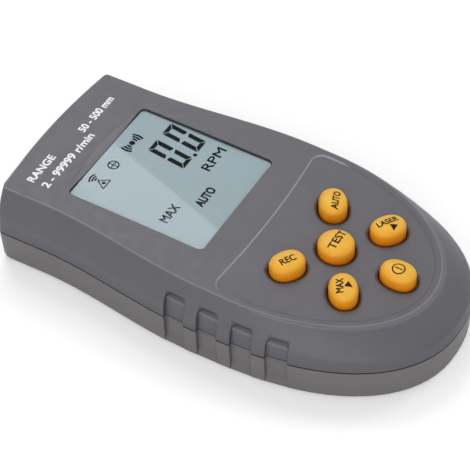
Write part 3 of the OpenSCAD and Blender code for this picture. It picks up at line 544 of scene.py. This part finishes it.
def smooth_group(angle):
    """Joins the faces of a CAD mesh and shades them smooth where they meet at less than an
    angle."""
    g = bpy.data.node_groups.new("smooth_%d" % round(angle), "GeometryNodeTree")
    for way in ("INPUT", "OUTPUT"):
        g.interface.new_socket("Geometry", in_out=way, socket_type="NodeSocketGeometry")
    new, link = g.nodes.new, g.links.new
    start, end = new("NodeGroupInput"), new("NodeGroupOutput")
    plain = new("GeometryNodeRemoveAttribute")
    plain.inputs["Name"].default_value = "custom_normal"
    weld = new("GeometryNodeMergeByDistance")
    weld.inputs["Distance"].default_value = WELD_DISTANCE * MM
    edge_angle = new("GeometryNodeInputMeshEdgeAngle")
    flat = new("FunctionNodeCompare")
    flat.operation = "LESS_THAN"
    flat.inputs[1].default_value = math.radians(angle)
    faces, edges = new("GeometryNodeSetShadeSmooth"), new("GeometryNodeSetShadeSmooth")
    edges.domain = "EDGE"
    link(start.outputs[0], plain.inputs["Geometry"])
    for a, b in ((plain, weld), (weld, faces), (faces, edges)):
        link(a.outputs["Geometry"], b.inputs["Geometry"])
    link(edge_angle.outputs["Unsigned Angle"], flat.inputs[0])
    link(flat.outputs["Result"], edges.inputs["Shade Smooth"])
    link(edges.outputs["Geometry"], end.inputs[0])
    return g


def shade_smooth(obj, group):
    obj.modifiers.new("smooth", "NODES").node_group = group


def dress_nodes(mats, group):
    for name, obj in nodes.items():
        obj.data.materials.clear()
        obj.data.materials.append(mats[finish_of(name)])
        shade_smooth(obj, group)
        even = obj.modifiers.new("even_normals", "WEIGHTED_NORMAL")
        even.keep_sharp = True
        even.weight = NORMAL_WEIGHT


# New pieces

def middle_of(name):
    """Middle of a node's box in plan, in millimetres."""
    low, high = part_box(name)
    return (low.x + high.x) / 2 / MM, (low.y + high.y) / 2 / MM


def tree_of(name):
    mesh = nodes[name].data
    faces = [p.vertices for p in mesh.polygons]
    return BVHTree.FromPolygons([v.co for v in mesh.vertices], faces)


def height_at(tree, x, y):
    """Height of a surface under a place in plan, in metres."""
    return tree.ray_cast(Vector((x, y, RAY_HEIGHT)), Vector((0, 0, -1)))[0].z


def add_piece(name, bm, mat, on):
    """Object of a bmesh with a finish, riding with a CAD node."""
    mesh = bpy.data.meshes.new(name)
    bm.to_mesh(mesh)
    bm.free()
    mesh.materials.append(mat)
    obj = bpy.data.objects.new(name, mesh)
    bpy.context.scene.collection.objects.link(obj)
    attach(obj, body_of[on])
    return obj


# Rounded lips around the keys

def key_outline(name, level):
    """Outline of a key at a height in metres, counter-clockwise, with its outward directions."""
    bm = bmesh.new()
    bm.from_mesh(nodes[name].data)
    geom = bm.verts[:] + bm.edges[:] + bm.faces[:]
    cut = bmesh.ops.bisect_plane(bm, geom=geom, plane_co=(0, 0, level), plane_no=(0, 0, 1))
    corners = [v for v in cut["geom_cut"] if isinstance(v, bmesh.types.BMVert)]
    points = {(round(v.co.x, 7), round(v.co.y, 7)) for v in corners}
    bm.free()
    x, y = (c * MM for c in middle_of(name))
    points = sorted((Vector(q) for q in points), key=lambda q: math.atan2(q.y - y, q.x - x))
    step = OUTLINE_STEP * MM
    loop = [q for i, q in enumerate(points) if (q - points[i - 1]).length > step]
    sides = [loop[(i + 1) % len(loop)] - loop[i - 1] for i in range(len(loop))]
    return loop, [Vector((d.y, -d.x)).normalized() for d in sides]


def make_lips(mats, group):
    under = tree_of("top_shell")
    for key in (n for n in nodes if finish_of(n) == "key_orange"):
        y = middle_of(key)[1] * MM
        fall = min(0, y - CROWN_START * MM) ** 2 / (2 * CROWN_RADIUS * MM)
        bm = bmesh.new()
        rings = []
        for q, n in zip(*key_outline(key, (CROWN_TOP - OUTLINE_DEPTH) * MM - fall)):
            rim = q + n * (KEY_CLEARANCE + LIP_RIM) * MM
            top = height_at(under, rim.x, rim.y)
            ring = []
            for gap, height in LIP_PROFILE:
                c = q + n * gap * MM
                ring.append(bm.verts.new((c.x, c.y, top + height * MM)))
            rings.append(ring)
        for i, ring in enumerate(rings):
            for j in range(len(ring)):
                bm.faces.new((rings[i - 1][j - 1], rings[i - 1][j], ring[j], ring[j - 1]))
        bmesh.ops.recalc_face_normals(bm, faces=bm.faces[:])
        lip = add_piece(key.replace("key", "lip"), bm, mats["case_lip"], "top_shell")
        shade_smooth(lip, group)


# Lower ends of the grip recesses, which run out to the surface

def closed_sheet(front, back):
    """Solid between two grids of points in metres."""
    bm = bmesh.new()
    sheets = [[[bm.verts.new(c) for c in row] for row in grid] for grid in (front, back)]
    rows, cols = len(front), len(front[0])
    for sheet in sheets:
        for low, high in zip(sheet, sheet[1:]):
            for j in range(cols - 1):
                bm.faces.new((low[j], low[j + 1], high[j + 1], high[j]))
    border = [(0, j) for j in range(cols)] + [(i, cols - 1) for i in range(1, rows)]
    border += [(rows - 1, j) for j in range(cols - 2, -1, -1)]
    border += [(i, 0) for i in range(rows - 2, 0, -1)]
    for k, (i, j) in enumerate(border):
        u, v = border[k - 1]
        bm.faces.new((sheets[0][u][v], sheets[0][i][j], sheets[1][i][j], sheets[1][u][v]))
    bmesh.ops.recalc_face_normals(bm, faces=bm.faces[:])
    return bm


def foot_grids(shell, side, place):
    """Outer and inner faces of a run-out on one side, at a place along the case."""
    half, land = GRIP_WIDTH / 2 - FOOT_INSET, GRIP_WIDTH / 2 + FOOT_LAND

    def wall(y, z):
        start = Vector((side * RAY_SIDE, y * MM, z * MM))
        return shell.ray_cast(start, Vector((-side, 0, 0)))[0].x

    front, back = [], []
    for z in FOOT_LEVELS:
        t = (z - FOOT_LEVELS[0]) / (FOOT_LEVELS[-1] - FOOT_LEVELS[0])
        sunk = FOOT_DEEPEST * t * t * (3 - 2 * t)
        a, b = wall(place - land, z), wall(place + land, z)
        rows = ([], [])
        for k in range(FOOT_STEPS + 1):
            y = place + half * (2 * k / FOOT_STEPS - 1)
            outer = a + (b - a) * (y - place + land) / (2 * land)
            floor = wall(y, z)
            for row, share in zip(rows, (sunk, FOOT_BACK)):
                row.append((outer + (floor - outer) * share, y * MM, z * MM))
        front.append(rows[0])
        back.append(rows[1])
    return front, back


def make_grip_feet(mats, group):
    shell = tree_of("bottom_shell")
    for side, word in ((-1, "left"), (1, "right")):
        for i, place in enumerate(grip_places()):
            bm = closed_sheet(*foot_grids(shell, side, place))
            name = "grip_foot_%s_%d" % (word, i + 1)
            foot = add_piece(name, bm, mats["case_foot"], "bottom_shell")
            shade_smooth(foot, group)


# Flat pieces printed on a surface

def print_piece(name, polygons, on, mat):
    print_layers(name, [polygons], on, mat)


def print_layers(name, layers, on, mat):
    """Thin print from flat polygons in millimetres, laid on a CAD node from above, each layer
    over the one before."""
    bm = bmesh.new()
    level = bm.verts.layers.float.new("level")
    for i, polygons in enumerate(layers):
        for polygon in polygons:
            verts = [bm.verts.new((x * MM, y * MM, 0)) for x, y in polygon]
            for v in verts:
                v[level] = i
            bm.faces.new(verts)
    bmesh.ops.triangulate(bm, faces=bm.faces[:])
    for _ in range(PRINT_CUTS):
        wide = [e for e in bm.edges if e.calc_length() > PRINT_FINE * MM]
        if not wide:
            break
        bmesh.ops.subdivide_edges(bm, edges=wide, cuts=1)
        bmesh.ops.triangulate(bm, faces=bm.faces[:])
    under = tree_of(on)
    for v in bm.verts:
        lift = PRINT_LIFT + PRINT_STEP * v[level]
        v.co.z = height_at(under, v.co.x, v.co.y) + lift * MM
    for f in bm.faces:
        f.normal_update()
    bmesh.ops.reverse_faces(bm, faces=[f for f in bm.faces if f.normal.z < 0])
    add_piece(name, bm, mat, on)


def letter_shapes(text):
    """Flat triangles of words in the built-in font."""
    curve = bpy.data.curves.new(text, "FONT")
    curve.body = text
    curve.resolution_u = LETTER_CURVE
    temp = bpy.data.objects.new(text, curve)
    bpy.context.scene.collection.objects.link(temp)
    bpy.context.view_layer.update()
    shown = temp.evaluated_get(bpy.context.evaluated_depsgraph_get())
    flat = bpy.data.meshes.new_from_object(shown)
    bpy.data.objects.remove(temp)
    bpy.data.curves.remove(curve)
    shapes = [[flat.vertices[i].co.copy() for i in p.vertices] for p in flat.polygons]
    bpy.data.meshes.remove(flat)
    return shapes


def lettering(name, text, at, turn, size, on, mat, bold):
    """Words of a width and capital height in millimetres, centred at a point and turned about
    Z, with strokes made wider on each side."""
    shapes = letter_shapes(text)
    xs, ys = ([c[k] for shape in shapes for c in shape] for k in (0, 1))
    mid_x, mid_y = (min(xs) + max(xs)) / 2, (min(ys) + max(ys)) / 2
    wide = (size[0] - 2 * bold) / (max(xs) - min(xs))
    high = (size[1] - 2 * bold) / (max(ys) - min(ys))
    spin = Matrix.Rotation(math.radians(turn), 2)

    def placed(c, u, v):
        flat = spin @ Vector(((c.x - mid_x) * wide + u * bold, (c.y - mid_y) * high + v * bold))
        return flat.x + at[0], flat.y + at[1]

    layers = [[[placed(c, u, v) for c in shape] for shape in shapes] for u, v in BOLD_STEPS]
    print_layers(name, layers, on, mat)


def polar(x, y, r, degrees):
    """Point at a distance from a point, at an angle."""
    angle = math.radians(degrees)
    return x + r * math.cos(angle), y + r * math.sin(angle)


def arc_band(x, y, r, width, a0, a1, steps=14):
    """Curved stroke, angles in degrees."""
    turns = [a0 + (a1 - a0) * i / steps for i in range(steps + 1)]
    outer = [polar(x, y, r + width / 2, a) for a in turns]
    inner = [polar(x, y, r - width / 2, a) for a in turns]
    return [[inner[i], outer[i], outer[i + 1], inner[i + 1]] for i in range(steps)]


def stroke(p, q, width):
    d = (Vector(q) - Vector(p)).normalized()
    n = Vector((-d.y, d.x)) * width / 2
    corners = (Vector(p) + n, Vector(p) - n, Vector(q) - n, Vector(q) + n)
    return [tuple(c) for c in corners]


def disc(x, y, r, steps=24):
    return [polar(x, y, r, 360 * i / steps) for i in range(steps)]


def triangle(x, y, size, turn):
    """Arrowhead that points along an angle in degrees."""
    return [polar(x, y, size, turn + a) for a in (0, 120, 240)]


def moved(polygons, by):
    return [[(x + by[0], y + by[1]) for x, y in polygon] for polygon in polygons]


# Display picture, in millimetres from the middle of the display cell

def nought():
    """Outlines of the six lit bars of a seven-segment nought, from its lower left corner."""
    w, h, t, b, g = DIGIT_WIDTH, DIGIT_HEIGHT, BAR_WIDE, BAR_HIGH, BAR_GAP
    tip = [(x, h / 2 - drop) for x, drop in BAR_TIP]
    left = [(0, g)] + tip + [(t, b + g / 2)]
    right = [(w - x, y) for x, y in left]
    low = [(g, 0), (w - g, 0), (w - t - g / 2, b), (t + g / 2, b)]
    lower = [left, right, low]
    return lower + [[(x, h - y) for x, y in bar] for bar in lower]


def signal_icon(x, y):
    waves = [disc(x, y, 0.85)]
    for r in (1.5, 2.4, 3.3):
        waves += arc_band(x, y, r, 0.62, -30, 30) + arc_band(x, y, r, 0.62, 150, 210)
    return waves


def target_icon(x, y):
    return arc_band(x, y, 1.5, 0.38, 0, 360, 32) + [
        stroke((x - 1.4, y), (x + 1.4, y), 0.32),
        stroke((x, y - 1.4), (x, y - 0.17), 0.32),
        stroke((x, y + 0.17), (x, y + 1.4), 0.32)]


def beam_icon(x, y):
    """Waves over a triangle with a dot."""
    corners = [(x, y + 0.1), (x - 1.9, y - 2.8), (x + 1.9, y - 2.8)]
    beam = [stroke(corners[i], corners[(i + 1) % 3], 0.34) for i in range(3)]
    beam.append(disc(x, y - 1.8, 0.5))
    for r in (0.8, 1.6, 2.4):
        beam += arc_band(x, y, r, 0.5, 48, 132)
    return beam


def make_display(mats):
    ink, glass = mats["segment"], "lcd_glass"
    mid = middle_of(glass)

    def draw(name, polygons):
        print_piece(name, moved(polygons, mid), glass, ink)

    for name, x in (("lcd_digit_tens", 4.95), ("lcd_digit_units", 12.4)):
        bars = [[(u + DIGIT_SLANT * v, v) for u, v in bar] for bar in nought()]
        draw(name, moved(bars, (x, DIGIT_BASE)))
    draw("lcd_point", [disc(11.2, -0.9, 0.6)])
    for name, text, at, size, bold in (
            ("lcd_unit", "RPM", (12.45, -6.1), (9.6, 2.85), 0.06),
            ("lcd_auto", "AUTO", (-1.2, -11.4), (7.7, 2.75), 0.11),
            ("lcd_max", "MAX", (-11.4, -6.3), (7.1, 2.7), 0.05)):
        lettering(name, text, (at[0] + mid[0], at[1] + mid[1]), 0, size, glass, ink, bold)
    draw("lcd_icon_signal", signal_icon(6.4, 16.3))
    draw("lcd_icon_target", target_icon(-3.5, 16.2))
    draw("lcd_icon_beam", beam_icon(-10.7, 16.6))


# Key legends, in millimetres from the middle of the key, and the printed lines on the case

def make_legends(mats):
    ink = mats["black_ink"]
    for key, text, at, turn, size in (("key_test", "TEST", (0.1, -0.2), 0, (7.2, 2.3)),
                                      ("key_rec", "REC", (-0.5, -0.4), -31, (4.6, 2.0)),
                                      ("key_auto", "AUTO", (-0.3, -0.9), 20, (6.3, 2.0)),
                                      ("key_max", "MAX", (-1.1, 0.6), 29, (4.8, 2.0)),
                                      ("key_laser", "LASER", (0.1, 0.45), -33, (6.1, 1.9))):
        x, y = middle_of(key)
        name = key.replace("key", "legend")
        lettering(name, text, (x + at[0], y + at[1]), turn, size, key, ink, LEGEND_BOLD)
    for key, at, turn in (("key_max", (0.2, -1.3), 29), ("key_laser", (-0.5, -1.8), 209)):
        x, y = middle_of(key)
        name = key.replace("key", "legend") + "_arrow"
        print_piece(name, [triangle(x + at[0], y + at[1], ARROW_SIZE, turn)], key, ink)
    power = arc_band(0, 0, 1.65, 0.36, 0, 360, 40) + [stroke((0, 1.1), (0, -1.1), 0.36)]
    power = moved(moved(power, (-0.45, -0.25)), middle_of("key_power"))
    print_piece("legend_power", power, "key_power", ink)


def make_print(mats):
    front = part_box("top_shell")[1].y / MM
    for name, text, x, setback, size in (
            ("print_range_title", "RANGE", -15.0, 7.5, (11.4, 2.4)),
            ("print_range", "2 - 99999 r/min", -8.7, 12.1, (23.8, 2.5)),
            ("print_distance", "50 - 500 mm", 10.6, 8.9, (15.8, 2.4))):
        at = (x, front - setback)
        lettering(name, text, at, 0, size, "top_shell", mats["white_ink"], LINE_BOLD)


# Studio

def emission_for_camera(tree, strength):
    """Strength for camera, glossy and transmission rays, and none for the rest."""
    path = tree.nodes.new("ShaderNodeLightPath")
    total = path.outputs["Is Camera Ray"]
    for other in ("Is Glossy Ray", "Is Transmission Ray"):
        total = math_node(tree, "MAXIMUM", total, path.outputs[other])
    return math_node(tree, "MULTIPLY", total, strength)


def make_world():
    world = bpy.data.worlds.new("studio")
    bpy.context.scene.world = world
    world.use_nodes = True
    tree = world.node_tree
    sky = tree.nodes["Background"]
    sky.inputs["Color"].default_value = (1, 1, 1, 1)
    shown = emission_for_camera(tree, 1 - WORLD_LEVEL)
    tree.links.new(math_node(tree, "ADD", shown, WORLD_LEVEL), sky.inputs["Strength"])


def make_floor():
    mat = bpy.data.materials.new("floor")
    mat.use_nodes = True
    tree = mat.node_tree
    tree.nodes.remove(tree.nodes["Principled BSDF"])
    kinds = ("BsdfDiffuse", "Emission", "AddShader")
    matt, lift, both = (tree.nodes.new("ShaderNode" + kind) for kind in kinds)
    matt.inputs["Color"].default_value = (FLOOR_WHITE,) * 3 + (1,)
    tree.links.new(emission_for_camera(tree, FLOOR_LIFT), lift.inputs["Strength"])
    tree.links.new(matt.outputs["BSDF"], both.inputs[0])
    tree.links.new(lift.outputs["Emission"], both.inputs[1])
    tree.links.new(both.outputs["Shader"], tree.nodes["Material Output"].inputs["Surface"])
    mesh = bpy.data.meshes.new("floor")
    bm = bmesh.new()
    bmesh.ops.create_circle(bm, cap_ends=True, radius=FLOOR_RADIUS, segments=FLOOR_SIDES)
    bm.to_mesh(mesh)
    bm.free()
    mesh.materials.append(mat)
    floor = bpy.data.objects.new("floor", mesh)
    floor.location.z = -FLOOR_DROP
    bpy.context.scene.collection.objects.link(floor)


def area_light(name, x, y, centre, size, radiance):
    """Square light with two edge directions, shining against their cross product."""
    data = bpy.data.lights.new(name, "AREA")
    data.shape = "SQUARE"
    data.size = size
    data.energy = radiance * math.pi * size * size
    light = bpy.data.objects.new(name, data)
    turn = Matrix((x, y, x.cross(y))).transposed().to_4x4()
    light.matrix_world = Matrix.Translation(centre) @ turn
    bpy.context.scene.collection.objects.link(light)


def soft_light(name, towards, distance, size, radiance):
    """Square light in a direction from the object, facing it."""
    z = Vector(towards).normalized()
    x = Vector((0, 1, 0)).cross(z).normalized()
    area_light(name, x, z.cross(x), z * distance, size, radiance)


def make_lights():
    """A card whose edge is mirrored across the display, softboxes overhead and behind the far
    rear corner, and a large fill on the near side."""
    mesh = nodes["lcd_glass"].data
    face = max((p for p in mesh.polygons if p.normal.z > LEVEL_TILT), key=lambda p: p.area)
    normal, place = face.normal, face.center

    def mirrored(pixel):
        eye, ray = pixel_ray(*pixel)
        at = eye + ray * ((place - eye).dot(normal) / ray.dot(normal))
        return at + ray.reflect(normal) * CARD_DISTANCE

    start, end = (mirrored(p) for p in GLARE_LINE)
    inside = mirrored(GLARE_SIDE)
    along = (end - start).normalized()
    aside = (inside - start) - along * (inside - start).dot(along)
    aside.normalize()
    if along.cross(aside).z < 0:
        along = -along
    centre = (start + end) / 2 + aside * CARD_SIZE / 2
    area_light("card", along, aside, centre, CARD_SIZE, CARD_RADIANCE)
    for name, setting in SOFT_LIGHTS.items():
        soft_light(name, *setting)


make_camera()
materials = make_materials()
smooth = smooth_group(SMOOTH_ANGLE)
dress_nodes(materials, smooth)
make_lips(materials, smooth)
make_grip_feet(materials, smooth)
make_display(materials)
make_legends(materials)
make_print(materials)
make_world()
make_floor()
make_lights()
bpy.context.scene.view_settings.view_transform = "Standard"
